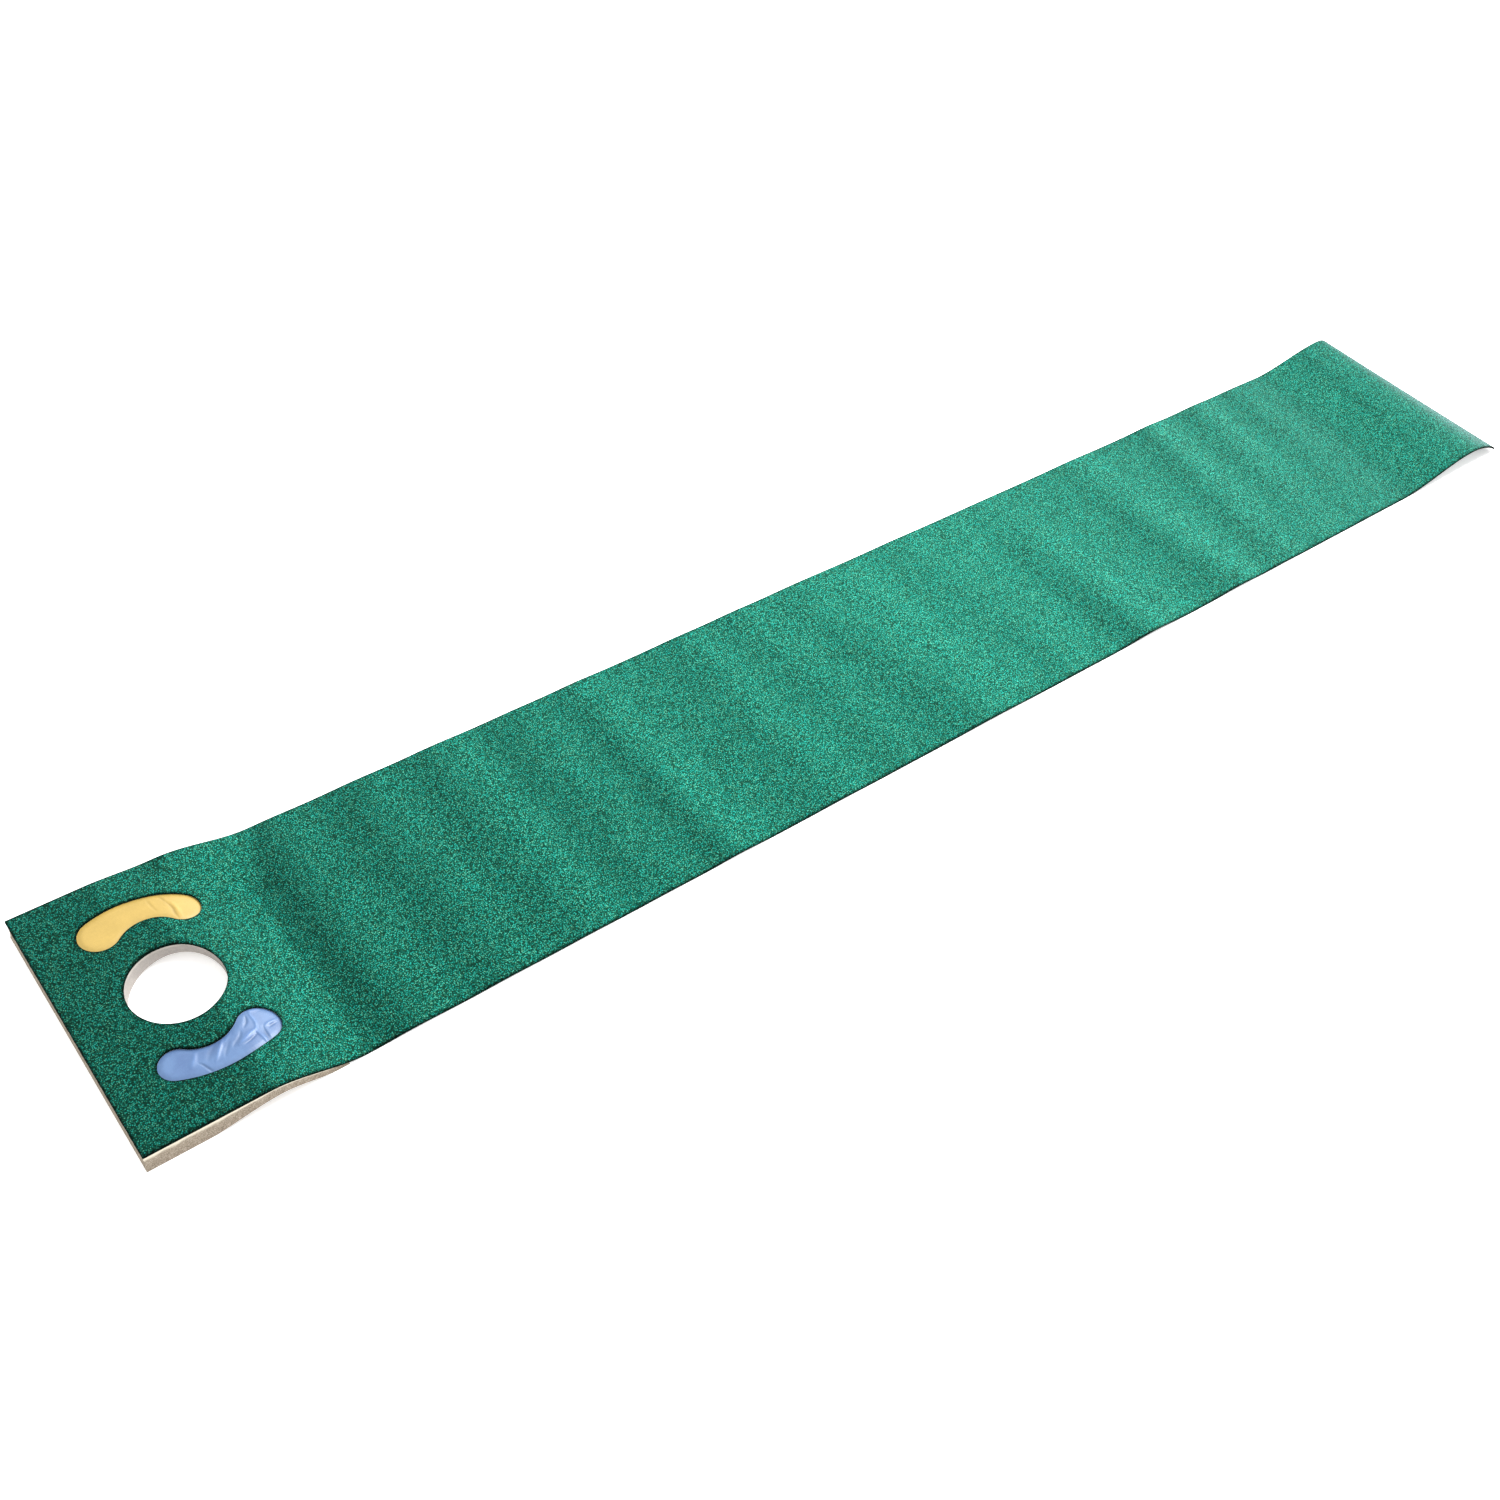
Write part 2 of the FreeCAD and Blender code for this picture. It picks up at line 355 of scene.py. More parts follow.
def die_outline(margin, spacing):
    """The kidney die grown by a margin: four arcs that meet smoothly."""
    small = np.array([-LOBE_SPACING / 2, 0.0])
    large = np.array([LOBE_SPACING / 2, 0.0])
    outer = centre_from_lobes(OUTER_ARC_RADIUS - SMALL_LOBE_RADIUS,
                              OUTER_ARC_RADIUS - LARGE_LOBE_RADIUS)
    inner = centre_from_lobes(INNER_ARC_RADIUS + SMALL_LOBE_RADIUS,
                              INNER_ARC_RADIUS + LARGE_LOBE_RADIUS)
    outer_small = angle_of(outer, small)
    outer_large = angle_of(outer, large)
    inner_small = angle_of(inner, small)
    inner_large = angle_of(inner, large)
    return np.vstack((
        arc_points(outer, OUTER_ARC_RADIUS + margin, outer_small, outer_large, spacing),
        arc_points(large, LARGE_LOBE_RADIUS + margin, outer_large, inner_large + math.pi, spacing),
        arc_points(inner, INNER_ARC_RADIUS - margin, inner_large, inner_small, spacing),
        arc_points(small, SMALL_LOBE_RADIUS + margin,
                   inner_small + math.pi, outer_small + 2 * math.pi, spacing),
    ))


def turned(points, angle):
    """Points turned about the origin."""
    cos, sin = math.cos(angle), math.sin(angle)
    return points @ np.array([[cos, sin], [-sin, cos]])


def window_middle(window):
    """Where the die stands, so that its grown outline fills the CAD patch's box."""
    outline = turned(die_outline(PATCH_MARGIN, DIE_SPACING), window["turn"])
    low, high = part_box(window["node"])
    wanted = np.array([(low.x + high.x) / 2 - HOLE_END, (low.y + high.y) / 2])
    return wanted - (outline.min(0) + outline.max(0)) / 2


def kidney(window, margin, spacing):
    """A window's outline in the mat's place, grown by a margin."""
    return window_middle(window) + turned(die_outline(margin, spacing), window["turn"])


def rectangle(length, inset, spacing):
    """The outline of a stretch of the mat from its hole end, moved inwards by an inset."""
    left = inset
    right = length - inset
    side = MAT_WIDTH / 2 - inset
    along = np.linspace(left, right, round((right - left) / spacing), endpoint=False)
    across = np.linspace(-side, side, round(2 * side / spacing), endpoint=False)
    return np.vstack((
        np.column_stack((along, np.full_like(along, -side))),
        np.column_stack((np.full_like(across, right), across)),
        np.column_stack((left + right - along, np.full_like(along, side))),
        np.column_stack((np.full_like(across, left), -across)),
    ))


def inside(points, loop):
    """Which points are inside a closed outline."""
    crossings = np.zeros(len(points), bool)
    for (x1, y1), (x2, y2) in zip(loop, np.roll(loop, -1, axis=0)):
        if y1 == y2:
            continue
        spans = (points[:, 1] < y1) != (points[:, 1] < y2)
        crossings ^= spans & (points[:, 0] < x1 + (points[:, 1] - y1) * (x2 - x1) / (y2 - y1))
    return crossings


def plan(outline, holes, loops, spacing):
    """Triangles over a plan region: its points, its triangles and the loop each point is from.

    The outline and the holes bound the region, loops are lines that the triangles also follow, and
    points every spacing fill the rest. A point's loop counts the outline, the holes and the loops in
    that order, and is -1 for a point of the filling.
    """
    rings = [outline, *holes, *loops]
    low, high = outline.min(0), outline.max(0)
    columns = np.arange(low[0] + spacing / 2, high[0], spacing)
    rows = np.arange(low[1] + spacing / 2, high[1], spacing)
    grid_x, grid_y = np.meshgrid(columns, rows)
    grid_x += spacing * 0.25 * np.where(np.arange(len(rows)) % 2, 1, -1)[:, None]  # rows are staggered
    filling = np.column_stack((grid_x.ravel(), grid_y.ravel()))
    filling = filling[inside(filling, outline)]
    for hole in holes:
        filling = filling[~inside(filling, hole)]
    ring_points = np.vstack(rings)
    filling = filling[far_from(filling, ring_points, spacing * 0.55)]  # nearer ones make slivers
    points = np.vstack((ring_points, filling))
    edges = []
    start = 0
    for ring in rings:
        count = len(ring)
        edges += [(start + i, start + (i + 1) % count) for i in range(count)]
        start += count
    owner = np.repeat([*range(len(rings)), -1], [*map(len, rings), len(filling)])
    made = delaunay_2d_cdt([Vector(p) for p in points], edges, [], 0, 1e-7)
    flat = np.array([tuple(p) for p in made[0]])
    triangles = np.array(made[2])
    source = np.array([owner[origin[0]] if origin else -1 for origin in made[3]])
    middles = flat[triangles].mean(1)
    kept = inside(middles, outline)
    for hole in holes:
        kept &= ~inside(middles, hole)
    return flat, triangles[kept], source


def far_from(points, others, distance):
    """Which points have none of the others within a distance."""
    tree = KDTree(len(others))
    for i, (x, y) in enumerate(others):
        tree.insert((x, y, 0.0), i)
    tree.balance()
    return np.array([tree.find((x, y, 0.0))[2] >= distance for x, y in points])


# ---------------------------------------------------------------- meshes

SHARP_ANGLE = math.radians(50)


def mark(mesh, name, values):
    """Store a number for each vertex, which a material reads by name."""
    mesh.attributes.new(name, "FLOAT", "POINT").data.foreach_set("value", values.astype(np.float32))


def border_edges(triangles):
    """The edges that only one triangle has, in that triangle's direction."""
    directed = dict.fromkeys((tri[i], tri[(i + 1) % 3]) for tri in triangles for i in range(3))
    return [edge for edge in directed if edge[::-1] not in directed]


def outward_directions(flat, border):
    """The direction out of the plan at each point of its border."""
    totals = {}
    for start, end in border:
        run = flat[end] - flat[start]
        normal = np.array([run[1], -run[0]]) / np.hypot(*run)
        for vertex in (start, end):
            totals[vertex] = totals.get(vertex, np.zeros(2)) + normal
    return {vertex: total / np.hypot(*total) for vertex, total in totals.items()}


def slab(name, flat, triangles, high, low, wall_rows=0, wall_push=None):
    """A closed mesh over a plan region, with material 0 on top, 1 on the walls and 2 below.

    wall_rows adds rings between the top edge and the bottom edge, and wall_push(points, share down
    the wall) says how far each point of such a ring moves outwards.
    """
    a, b, c = (flat[triangles[:, i]] for i in range(3))
    flipped = np.cross(b - a, c - a) < 0
    triangles = np.where(flipped[:, None], triangles[:, ::-1], triangles)
    border = border_edges(triangles)
    outward = outward_directions(flat, border)
    ring = list(outward)
    place_in_ring = {vertex: i for i, vertex in enumerate(ring)}
    directions = np.array([outward[vertex] for vertex in ring])

    count = len(flat)
    top = np.column_stack((flat[:, 0] + HOLE_END, flat[:, 1], high))
    bottom = np.column_stack((flat[:, 0] + HOLE_END, flat[:, 1], low))
    vertices = [top, bottom]
    height_shares = [np.ones(count), np.zeros(count)]
    levels = wall_rows + 1
    for level in range(1, levels):
        share = level / levels
        points = top[ring] * (1 - share) + bottom[ring] * share
        points[:, :2] += directions * wall_push(points, share)[:, None]
        vertices.append(points)
        height_shares.append(np.full(len(ring), 1 - share))

    def on_wall(vertex, level):
        """The number of the mesh's vertex at a level down the wall, where 0 is the top edge."""
        if level == 0:
            return vertex
        if level == levels:
            return vertex + count
        return 2 * count + (level - 1) * len(ring) + place_in_ring[vertex]

    faces = [tuple(t) for t in triangles] + [tuple(t[::-1] + count) for t in triangles]
    kinds = [0] * len(triangles) + [2] * len(triangles)
    for start, end in border:
        for level in range(levels):
            corners = ((start, level), (start, level + 1), (end, level + 1), (end, level))
            faces.append(tuple(on_wall(*corner) for corner in corners))
            kinds.append(1)
    mesh = bpy.data.meshes.new(name)
    mesh.from_pydata(np.vstack(vertices).tolist(), [], faces)
    mesh.polygons.foreach_set("material_index", kinds)
    mark(mesh, "height_share", np.concatenate(height_shares))
    mesh.shade_smooth()
    mesh.set_sharp_from_angle(angle=SHARP_ANGLE)
    piece = bpy.data.objects.new(name, mesh)
    bpy.context.scene.collection.objects.link(piece)
    return piece


def wobble(points, size, amount, seed):
    """Smooth random offsets along an outline, the same on every run."""
    return np.array([noise.noise(Vector((p[0] / size, p[1] / size, seed))) * amount for p in points])


def outline_area(loop):
    """The area inside a closed outline."""
    x, y = loop.T
    return abs(np.dot(x, np.roll(y, -1)) - np.dot(y, np.roll(x, -1))) / 2


def felt_cuts(inset):
    """The strip's outline, its round hole and its windows, each moved into the felt by an inset."""
    windows = [kidney(window, inset, CURVE_SPACING) for window in WINDOWS]
    hole = circle(HOLE_CENTRE, HOLE_RADIUS + inset, CURVE_SPACING)
    return [rectangle(MAT_LENGTH, inset, STRAIGHT_SPACING), hole, *windows]


def felt_piece():
    """The green strip, with worn cut edges, painted shade along them and the places that the patches press
    into.
    """
    insets, drops, shades = zip(*FELT_EDGE)
    rings = [ring for inset in insets for ring in felt_cuts(inset * MM)]
    cuts = len(rings) // len(insets)
    for margin in (PATCH_MARGIN, PATCH_MARGIN + POCKET_STEP):
        rings += [kidney(window, margin, HIDDEN_SPACING) for window in WINDOWS]
    plain = [0.0] * (2 * len(WINDOWS) + 1)  # for the pockets' rings, and last for the filling
    drops = np.append(np.repeat(drops, cuts) * MM, plain)
    shades = np.append(np.repeat(shades, cuts), plain)
    flat, triangles, source = plan(rings[0], rings[1:cuts], rings[cuts:], FILL_SPACING)
    under = felt_under(*flat.T)
    high = under + FELT_THICKNESS - drops[source]
    pressed = np.zeros(len(flat), bool)
    for window in WINDOWS:
        pressed |= inside(flat, kidney(window, PATCH_MARGIN + POCKET_STEP / 2, HIDDEN_SPACING))
    low = under + np.where(pressed, PATCH_THICKNESS + PATCH_GLUE_THICKNESS, 0.0)
    piece = slab("green_felt_strip", flat, triangles, high, low, wall_rows=2, wall_push=felt_edge_push)
    places = np.array([vertex.co for vertex in piece.data.vertices])
    # The felt's painted light and shade, from its slopes, the pad, the painted bands and the cut edges.
    shade = painted_light_and_shade(places[:, 0] - HOLE_END, places[:, 1])
    # Painted shade along the cut edges, on the top only.
    shade[:len(flat)] += shades[source]
    mark(piece.data, "painted_light_and_shade", shade)
    return piece


def felt_edge_push(points, share):
    """The cut edge stands out a little, with loose fibres."""
    return 0.15 * MM + wobble(points, 2.5 * MM, 0.25 * MM, 3.0 + share)


def felt_flat_length():
    """The strip's length along its curves, which is what it was cut to."""
    x = np.linspace(0.0, MAT_LENGTH, 2000)
    z = felt_under(x, np.zeros_like(x))
    return float(np.hypot(np.diff(x), np.diff(z)).sum())


def felt_flat_area():
    """The strip's area as it was cut, without its round hole and its windows."""
    outline, *holes = felt_cuts(0.0)
    return MAT_WIDTH * felt_flat_length() - sum(outline_area(hole) for hole in holes)


def foam_piece():
    """The foam block: its top follows the felt, and its cut sides are slightly uneven."""
    outline = rectangle(FOAM_LENGTH, 0.0, FOAM_SPACING)
    hole = circle(HOLE_CENTRE, HOLE_RADIUS, CURVE_SPACING)
    flat, triangles, _ = plan(outline, [hole], [], FILL_SPACING)
    low = foam_under(flat[:, 0])
    high = felt_under(*flat.T) - GLUE_THICKNESS
    return slab("foam_block", flat, triangles, high, low, wall_rows=9, wall_push=foam_edge_push)


def foam_edge_push(points, share):
    """The cut face bows inwards a little and has cell-sized roughness."""
    bow = -FOAM_BOW * math.sin(math.pi * share) ** 0.8
    uneven = wobble(points, 7 * MM, 0.5 * MM, 11.0 + share)
    return bow + uneven + wobble(points, 2 * MM, 0.2 * MM, 17.0)


def foam_glue_piece():
    """The film of glue on the foam, a little smaller than the foam and wider than the hole."""
    outline = rectangle(FOAM_LENGTH, GLUE_INSET, FOAM_SPACING)
    hole = circle(HOLE_CENTRE, HOLE_RADIUS + GLUE_INSET, HIDDEN_SPACING)
    flat, triangles, _ = plan(outline, [hole], [], GLUE_FILL_SPACING)
    high = felt_under(*flat.T)
    return slab("foam_glue_film", flat, triangles, high, high - GLUE_THICKNESS)


def patch_outline(window):
    return kidney(window, PATCH_MARGIN, CURVE_SPACING)


def patch_piece(name, window, wrinkles):
    """A satin patch, flat under the felt's margin and wrinkled where the window shows it."""
    rims = [kidney(window, -inset, SATIN_SPACING) for inset in RIM_INSETS]
    flat, triangles, _ = plan(patch_outline(window), [], rims, SATIN_SPACING)
    x, y = flat.T
    shown = window_depth(flat, window)
    stray_x, stray_y = (wobble(flat, WRINKLE_STRAY_LENGTH, WRINKLE_STRAY, seed) for seed in (23.0, 29.0))
    folds = wrinkle_rise(x + stray_x, y + stray_y, wrinkles) * ease(shown / WRINKLE_FADE)
    lift = np.maximum(folds + PATCH_PUFF * ease(shown / PATCH_PUFF_EDGE), 0.0)
    low = felt_under(x, y) + lift
    piece = slab(name, flat, triangles, low + PATCH_THICKNESS, low)
    # A painted highlight along the window's edge, added to the wrinkles' painted light and shade.
    painted_rim_highlight = np.where(shown > 0.0, RIM_SHADE * (1.0 - ease((shown - DEPTH_STEP) / RIM_WIDTH)), 0.0)
    shade = np.clip(WRINKLE_SHADE * folds / MM, *WRINKLE_SHADE_LIMITS) + painted_rim_highlight
    mark(piece.data, "painted_light_and_shade", np.tile(shade, 2))
    return piece


def window_depth(points, window):
    """How far inside a window each point is, in whole steps, and 0 outside it."""
    depth = np.zeros(len(points))
    for count in range(DEPTH_STEPS):
        within = inside(points, kidney(window, -count * DEPTH_STEP - EDGE_CLEARANCE, DIE_SPACING))
        depth[within] = (count + 1) * DEPTH_STEP
    return depth


def patch_glue_piece(name, window):
    """The band of glue round a window, between the patch and the felt."""
    edge = kidney(window, 0.0, CURVE_SPACING)
    flat, triangles, _ = plan(patch_outline(window), [edge], [], BAND_FILL_SPACING)
    low = felt_under(*flat.T) + PATCH_THICKNESS
    return slab(name, flat, triangles, low + PATCH_GLUE_THICKNESS, low)


# ---------------------------------------------------------------- materials

# The felt's tufts to a metre, and its colours: its green, darkened by painted shade in the gaps
# between the tufts and lit by painted glints on their tips.
TUFTS = 740
FELT_LEVELS = (0.30, 0.48, 0.64, 0.78)
PILE_COLOURS = ((0.002, 0.026, 0.016), (0.0035, 0.066, 0.043), (0.006, 0.122, 0.083), (0.036, 0.32, 0.245))
# The cut walls' colours are far darker than the pile's: painted shade on the felt's cut walls.
SHADED_CUT_COLOURS = ((0.001, 0.004, 0.003), (0.002, 0.010, 0.006), (0.004, 0.024, 0.015), (0.01, 0.06, 0.04))
BACK_COLOURS = ((0.001, 0.012, 0.008), (0.003, 0.032, 0.021), (0.008, 0.065, 0.045), (0.03, 0.13, 0.10))
TUFT_TINTS = ((0.1, (0.35, 0.94, 1.0)), (0.55, (0.9, 1.0, 1.0)), (0.95, (2.6, 1.06, 0.92)))

# The foam's cells to a metre, and its colours: its cells from dark to light, the paler band along
# the top of the cut, and the wall of the hole.
FOAM_CELLS = 950
FOAM_CELL_COLOURS = ((0.25, (0.13, 0.10, 0.075)), (0.50, (0.30, 0.25, 0.19)), (0.75, (0.46, 0.40, 0.33)))
FOAM_TOP_BAND = (0.68, 0.62, 0.50)
FOAM_IN_HOLE = (0.40, 0.38, 0.37)

# Each patch's two shades, its roughness and its shine.
WATER_SATIN = ((0.092, 0.170, 0.328), (0.066, 0.126, 0.268), 0.40, 0.12)
SAND_SATIN = ((0.435, 0.295, 0.068), (0.395, 0.268, 0.060), 0.5, 0.1)
GLUE_COLOURS = ((0.3, (0.62, 0.50, 0.28)), (0.7, (0.80, 0.72, 0.50)))


class Nodes:
    """A new material's nodes, with short ways to make and join them."""

    def __init__(self, name):
        self.material = bpy.data.materials.new(name)
        self.material.use_nodes = True
        self.tree = self.material.node_tree
        self.shader = self.tree.nodes["Principled BSDF"]
        self.place = self.add("ShaderNodeTexCoord").outputs["Object"]

    def add(self, kind, **settings):
        node = self.tree.nodes.new(kind)
        for key, value in settings.items():
            setattr(node, key, value)
        return node

    def join(self, source, socket):
        self.tree.links.new(source, socket)

    def noise(self, scale, detail=2.0, roughness=0.5, stretch=None, turn=0.0, distortion=0.0):
        """Cloudy noise, or threads where it is stretched, turned about the vertical."""
        node = self.add("ShaderNodeTexNoise")
        node.inputs["Scale"].default_value = scale
        node.inputs["Detail"].default_value = detail
        node.inputs["Roughness"].default_value = roughness
        node.inputs["Distortion"].default_value = distortion
        source = self.place
        if stretch:
            mapping = self.add("ShaderNodeMapping")
            mapping.inputs["Scale"].default_value = stretch
            mapping.inputs["Rotation"].default_value = (0, 0, turn)
            self.join(source, mapping.inputs["Vector"])
            source = mapping.outputs["Vector"]
        self.join(source, node.inputs["Vector"])
        return node.outputs["Fac"]

    def cells(self, scale):
        """Small irregular cells: the distance from each one's middle, and a random colour for each."""
        node = self.add("ShaderNodeTexVoronoi")
        node.inputs["Scale"].default_value = scale
        self.join(self.place, node.inputs["Vector"])
        return node.outputs["Distance"], node.outputs["Color"]

    def split(self, colour):
        """Two random greys from a random colour."""
        parts = self.add("ShaderNodeSeparateColor")
        self.join(colour, parts.inputs["Color"])
        return parts.outputs["Red"], parts.outputs["Green"]

    def marked(self, name):
        """A number that a mesh stores for each vertex."""
        return self.add("ShaderNodeAttribute", attribute_name=name).outputs["Fac"]

    def math(self, operation, first, second):
        """A sum, product or the like of two values, each a number or a socket."""
        node = self.add("ShaderNodeMath", operation=operation)
        for socket, value in zip(node.inputs, (first, second)):
            if isinstance(value, (int, float)):
                socket.default_value = value
            else:
                self.join(value, socket)
        return node.outputs[0]

    def ramp(self, value, stops):
        """A colour ramp from stops of (place, colour or grey)."""
        node = self.add("ShaderNodeValToRGB")
        elements = node.color_ramp.elements
        while len(elements) < len(stops):
            elements.new(0.5)
        for element, (place, colour) in zip(elements, stops):
            element.position = place
            colour = (colour,) * 3 if isinstance(colour, (int, float)) else colour
            element.color = (*colour, 1.0)
        self.join(value, node.inputs["Fac"])
        return node.outputs["Color"]

    def mix(self, share, first, second, blend="MIX"):
        """A share of the second colour over the first, each a colour or a socket."""
        node = self.add("ShaderNodeMix", data_type="RGBA", blend_type=blend)
        sockets = (node.inputs["Factor"], node.inputs[6], node.inputs[7])
        for socket, value in zip(sockets, (share, first, second)):
            if isinstance(value, tuple):
                socket.default_value = (*value, 1.0)
            elif isinstance(value, (int, float)):
                socket.default_value = value
            else:
                self.join(value, socket)
        return node.outputs[2]

    def scaled(self, colour, factor):
        """A colour made brighter or darker by a factor."""
        node = self.add("ShaderNodeVectorMath", operation="SCALE")
        self.join(colour, node.inputs[0])
        self.join(factor, node.inputs["Scale"])
        return node.outputs[0]

    def bump(self, height, distance, strength):
        node = self.add("ShaderNodeBump")
        node.inputs["Distance"].default_value = distance
        node.inputs["Strength"].default_value = strength
        self.join(height, node.inputs["Height"])
        return node.outputs["Normal"]

    def colour(self, value):
        self.join(value, self.shader.inputs["Base Color"])

    def normal(self, value):
        self.join(value, self.shader.inputs["Normal"])

    def set(self, **values):
        for name, value in values.items():
            socket = self.shader.inputs[name.replace("_", " ")]
            socket.default_value = (*value, 1.0) if isinstance(value, tuple) and len(value) == 3 else value


def felt_material(name, colours, sheen):
    """Needle-punched felt: tufts with painted shade in their gaps and painted glints on their tips."""
    nodes = Nodes(name)
    strands = nodes.noise(1.0, 2.0, 0.6, stretch=(1900, 560, 900), turn=0.6, distortion=0.4)
    crossing = nodes.noise(1.0, 2.0, 0.6, stretch=(1800, 520, 900), turn=-0.9, distortion=0.4)
    fibre = nodes.math("MAXIMUM", strands, crossing)
    from_tip, colour = nodes.cells(TUFTS)
    tufts, hues = nodes.split(colour)
    tips = nodes.math("ADD", nodes.math("MULTIPLY", from_tip, -1.0), 0.78)
    uneven = nodes.math("ADD", nodes.math("MULTIPLY", tufts, 0.24), nodes.math("MULTIPLY", fibre, 0.12))
    relief = nodes.math("ADD", tips, uneven)
    speckle = nodes.ramp(relief, tuple(zip(FELT_LEVELS, colours)))
    speckle = nodes.mix(1.0, speckle, nodes.ramp(hues, TUFT_TINTS), "MULTIPLY")
    cloudy = nodes.math("MULTIPLY", nodes.noise(34, 3.0, 0.55), 0.16)
    # The mesh's painted light and shade scale the felt's colour and its sheen.
    painted_level = nodes.math("ADD", nodes.marked("painted_light_and_shade"), 0.92)
    brightness = nodes.math("ADD", painted_level, cloudy)
    nodes.colour(nodes.scaled(speckle, brightness))
    nodes.normal(nodes.bump(relief, 0.6 * MM, 0.6))
    nodes.join(nodes.math("MULTIPLY", brightness, sheen), nodes.shader.inputs["Sheen Weight"])
    nodes.set(Roughness=0.92, Specular_IOR_Level=0.03, Sheen_Roughness=0.3, Sheen_Tint=(0.66, 1.0, 1.0))
    return nodes.material


def foam_material():
    """Cut foam: fine open cells, paler along the top of the cut and greyer in the hole."""
    nodes = Nodes("cut_foam")
    cells, _ = nodes.cells(FOAM_CELLS)
    grain = nodes.noise(420, 4.0, 0.7)
    relief = nodes.math("ADD", nodes.math("MULTIPLY", cells, 0.5), nodes.math("MULTIPLY", grain, 0.5))
    uneven = nodes.math("MULTIPLY", nodes.noise(60, 2.0), 0.25)
    near_top = nodes.ramp(nodes.math("ADD", nodes.marked("height_share"), uneven), ((0.82, 0.0), (1.0, 1.0)))
    tan = nodes.mix(near_top, nodes.ramp(relief, FOAM_CELL_COLOURS), FOAM_TOP_BAND)
    from_hole = nodes.add("ShaderNodeVectorMath", operation="DISTANCE")
    nodes.join(nodes.place, from_hole.inputs[0])
    from_hole.inputs[1].default_value = (HOLE_CENTRE[0] + HOLE_END, HOLE_CENTRE[1], PAD_HEIGHT / 2)
    reach = HOLE_RADIUS + 4 * MM
    wall = (HOLE_RADIUS + 2 * MM) / reach
    in_hole = nodes.ramp(nodes.math("DIVIDE", from_hole.outputs["Value"], reach), ((wall, 0.7), (1.0, 0.0)))
    nodes.colour(nodes.mix(in_hole, tan, FOAM_IN_HOLE))
    nodes.normal(nodes.bump(relief, 0.5 * MM, 0.8))
    nodes.set(Roughness=0.9, Specular_IOR_Level=0.2)
    return nodes.material


def satin_material(name, colour, shade, roughness, coat):
    """Smooth woven satin: a fine weave, a soft shine, painted light and shade on the wrinkles
    and a painted highlight along the window's edge.
    """
    nodes = Nodes(name)
    warp = nodes.noise(1.0, 1.0, 0.5, stretch=(260, 5200, 1000))
    weft = nodes.noise(1.0, 1.0, 0.5, stretch=(5200, 260, 1000))
    weave = nodes.math("ADD", nodes.math("MULTIPLY", warp, 0.5), nodes.math("MULTIPLY", weft, 0.5))
    cloudy = nodes.ramp(nodes.noise(45, 3.0, 0.5), ((0.35, shade), (0.65, colour)))
    thread = nodes.ramp(weave, ((0.35, 0.90), (0.65, 1.06)))
    woven = nodes.mix(1.0, cloudy, thread, "MULTIPLY")
    # The mesh's painted light and shade on the wrinkles and along the window's edge.
    nodes.colour(nodes.scaled(woven, nodes.math("ADD", nodes.marked("painted_light_and_shade"), 1.0)))
    nodes.normal(nodes.bump(weave, 0.06 * MM, 0.5))
    nodes.set(Roughness=roughness, Specular_IOR_Level=0.5, Sheen_Weight=0.15, Sheen_Roughness=0.4)
    nodes.set(Coat_Weight=coat, Coat_Roughness=0.3)
    return nodes.material


def glue_material():
    """Dried contact glue, streaky and slightly glossy."""
    nodes = Nodes("contact_glue")
    streaks = nodes.noise(90, 3.0, 0.6)
    nodes.colour(nodes.ramp(streaks, GLUE_COLOURS))
    nodes.normal(nodes.bump(streaks, 0.1 * MM, 0.4))
    nodes.set(Roughness=0.45)
    return nodes.material


def floor_material():
    """A plain white floor that gives off some light, so that it stays white."""
    nodes = Nodes("plain_floor")
    nodes.set(Base_Color=(0.86, 0.86, 0.86), Roughness=0.9, Specular_IOR_Level=0.1)
    nodes.set(Emission_Color=(1.0, 1.0, 1.0), Emission_Strength=0.45)
    return nodes.material


# ---------------------------------------------------------------- the mat

def finished(piece, materials, slot, *nodes):
    """A piece with its materials, on its body, in place of its CAD nodes."""
    for material in materials:
        piece.data.materials.append(material)
    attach(piece, "root")
    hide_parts(*nodes)
    return piece


def build_mat():
    """Every piece of the mat; the felt's length and area as cut are worked out but not kept."""
    pile = felt_material("felt_pile", PILE_COLOURS, 0.75)
    cut = felt_material("felt_cut_edge_painted_shade", SHADED_CUT_COLOURS, 0.0)
    back = felt_material("felt_back", BACK_COLOURS, 0.05)
    glue = [glue_material()] * 3
    foam_look = [foam_material()] * 3
    water_look = [satin_material("water_satin_weave", *WATER_SATIN)] * 3
    sand_look = [satin_material("sand_satin_weave", *SAND_SATIN)] * 3

    foam = finished(foam_piece(), foam_look, "beige_foam", "foam_pad")
    film = finished(foam_glue_piece(), glue, "contact_glue", "foam_glue")
    water = patch_piece("water_satin", WATER, WATER_WRINKLES)
    finished(water, water_look, "blue_satin", "water_patch")
    sand = patch_piece("sand_satin", SAND, SAND_WRINKLES)
    finished(sand, sand_look, "yellow_satin", "sand_patch")
    finished(patch_glue_piece("water_glue_band", WATER), glue, "contact_glue", "water_patch_glue")
    finished(patch_glue_piece("sand_glue_band", SAND), glue, "contact_glue", "sand_patch_glue")
    felt = finished(felt_piece(), [pile, cut, back], "green_felt",
                    "felt_strip_hole_end", "felt_strip_run", "felt_strip_curl")

    felt_flat_length()
    felt_flat_area()


# ---------------------------------------------------------------- floor, light and camera

CAMERA_PLACE = Vector((-1.1141, -0.9680, 1.2998))
CAMERA_TARGET = Vector((-0.2511, -0.0378, 0.0))
CAMERA_ROLL = math.radians(7.02)
CAMERA_LENS = 40.2
CAMERA_SENSOR = 36.0
FLOOR_REACH = 20.0

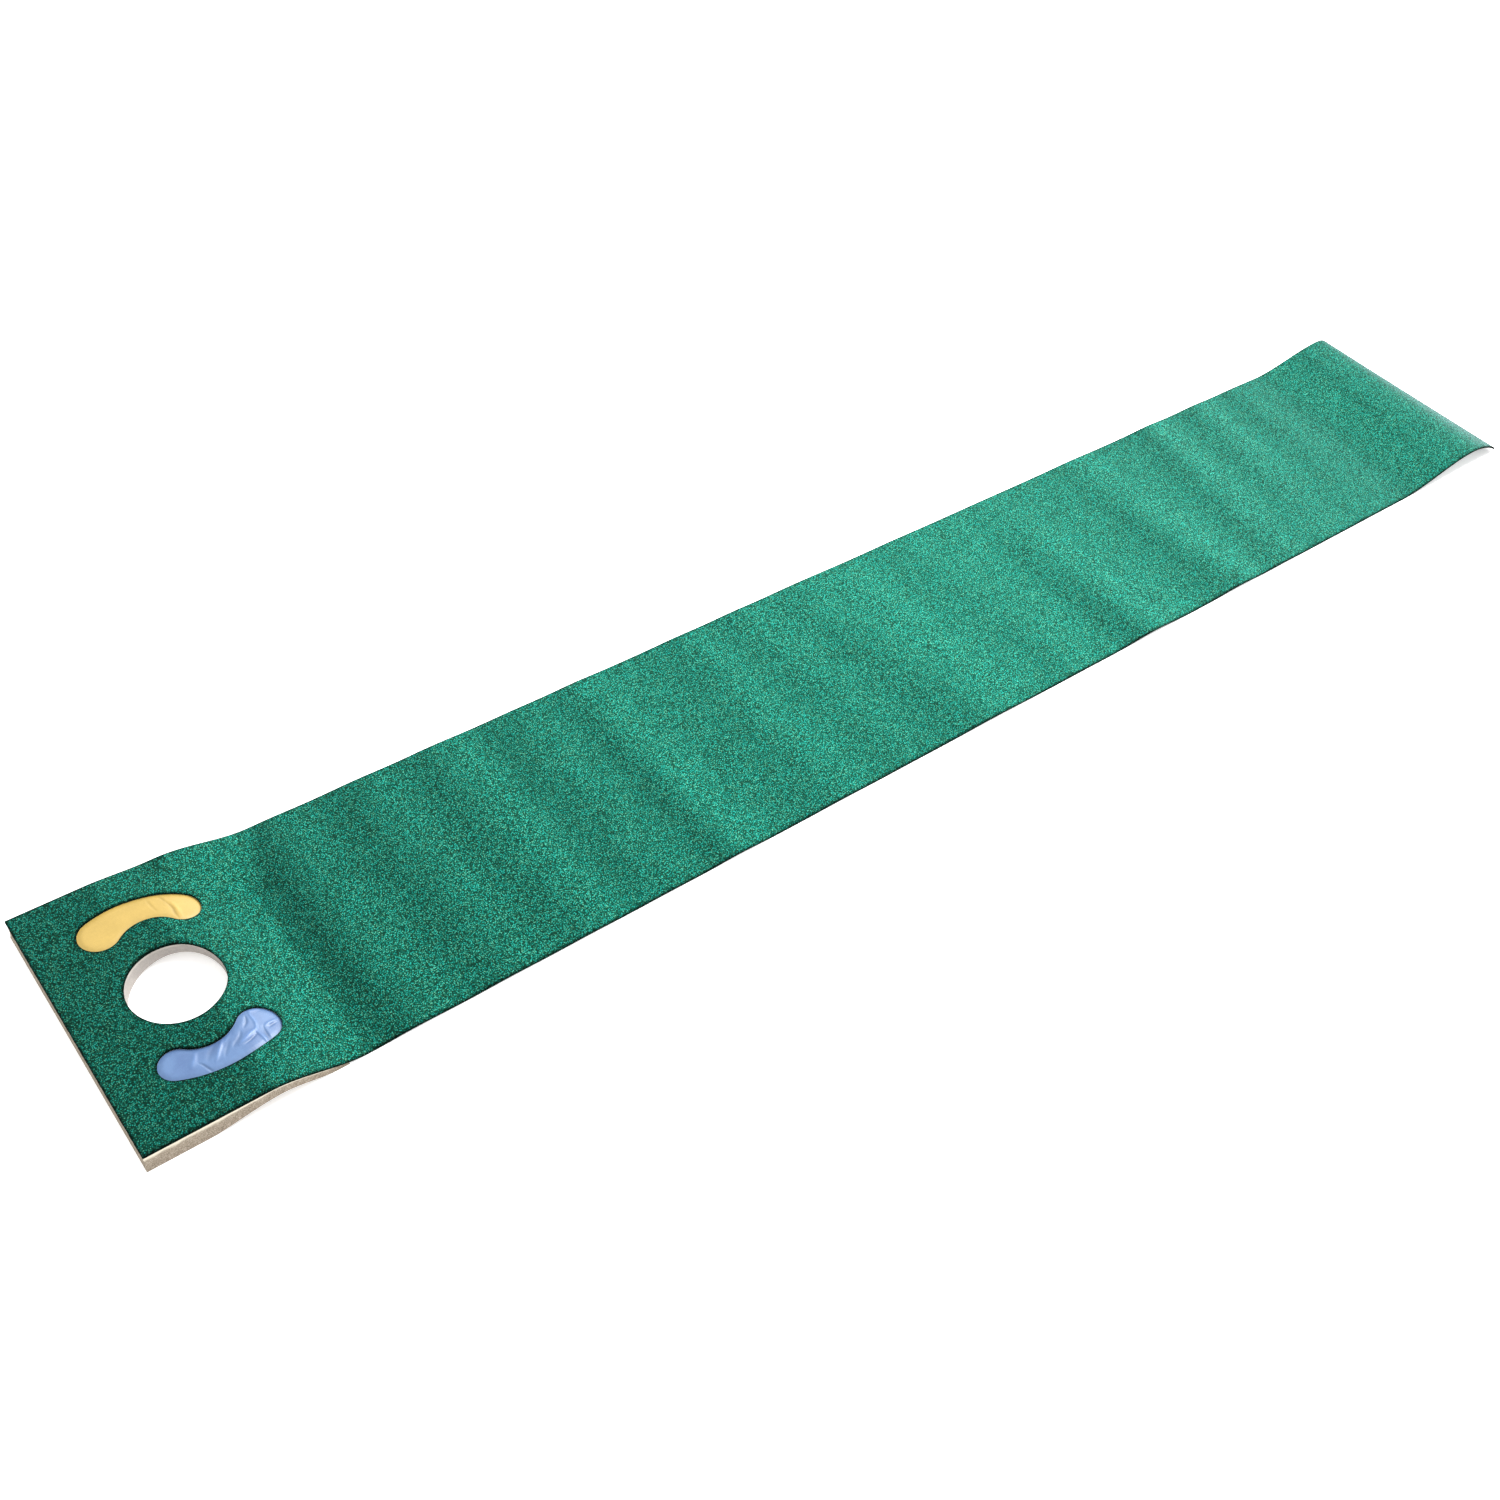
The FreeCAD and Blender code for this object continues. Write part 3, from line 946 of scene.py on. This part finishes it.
WORLD_STRENGTH = 1.05
SUN_STRENGTH = 1.2
SUN_PLACE = (4.0, 2.2, 3.4)
OVERHEAD_WATTS = 46
OVERHEAD_PLACE = (0.38, 0.1, 1.1)
OVERHEAD_TARGET = (0.38, 0.05, 0)


def add_floor():
    reach = FLOOR_REACH
    corners = [(-reach, -reach, 0), (reach, -reach, 0), (reach, reach, 0), (-reach, reach, 0)]
    mesh = bpy.data.meshes.new("floor")
    mesh.from_pydata(corners, [], [(0, 1, 2, 3)])
    mesh.materials.append(floor_material())
    floor = bpy.data.objects.new("floor", mesh)
    bpy.context.scene.collection.objects.link(floor)


def add_light(name, kind, place, target, energy, **settings):
    light = bpy.data.lights.new(name, kind)
    light.energy = energy
    for key, value in settings.items():
        setattr(light, key, value)
    lamp = bpy.data.objects.new(name, light)
    bpy.context.scene.collection.objects.link(lamp)
    lamp.location = place
    lamp.rotation_euler = (Vector(target) - Vector(place)).to_track_quat("-Z", "Y").to_euler()


def add_lights():
    world = bpy.data.worlds.new("studio")
    world.use_nodes = True
    background = world.node_tree.nodes["Background"]
    background.inputs["Color"].default_value = (1.0, 1.0, 1.0, 1.0)
    background.inputs["Strength"].default_value = WORLD_STRENGTH
    bpy.context.scene.world = world
    add_light("key", "SUN", SUN_PLACE, (0, 0, 0), SUN_STRENGTH, angle=math.radians(50))
    add_light("overhead", "AREA", OVERHEAD_PLACE, OVERHEAD_TARGET, OVERHEAD_WATTS,
              shape="RECTANGLE", size=1.3, size_y=0.8)


def add_camera():
    camera = bpy.data.objects.new("camera", bpy.data.cameras.new("camera"))
    bpy.context.scene.collection.objects.link(camera)
    camera.data.lens = CAMERA_LENS
    camera.data.sensor_width = CAMERA_SENSOR
    camera.location = CAMERA_PLACE
    straight = (CAMERA_TARGET - CAMERA_PLACE).to_track_quat("-Z", "Y")
    camera.rotation_euler = (straight @ Quaternion((0, 0, 1), CAMERA_ROLL)).to_euler()
    bpy.context.scene.camera = camera


build_mat()
add_floor()
add_lights()
add_camera()
bpy.context.scene.view_settings.view_transform = "Standard"
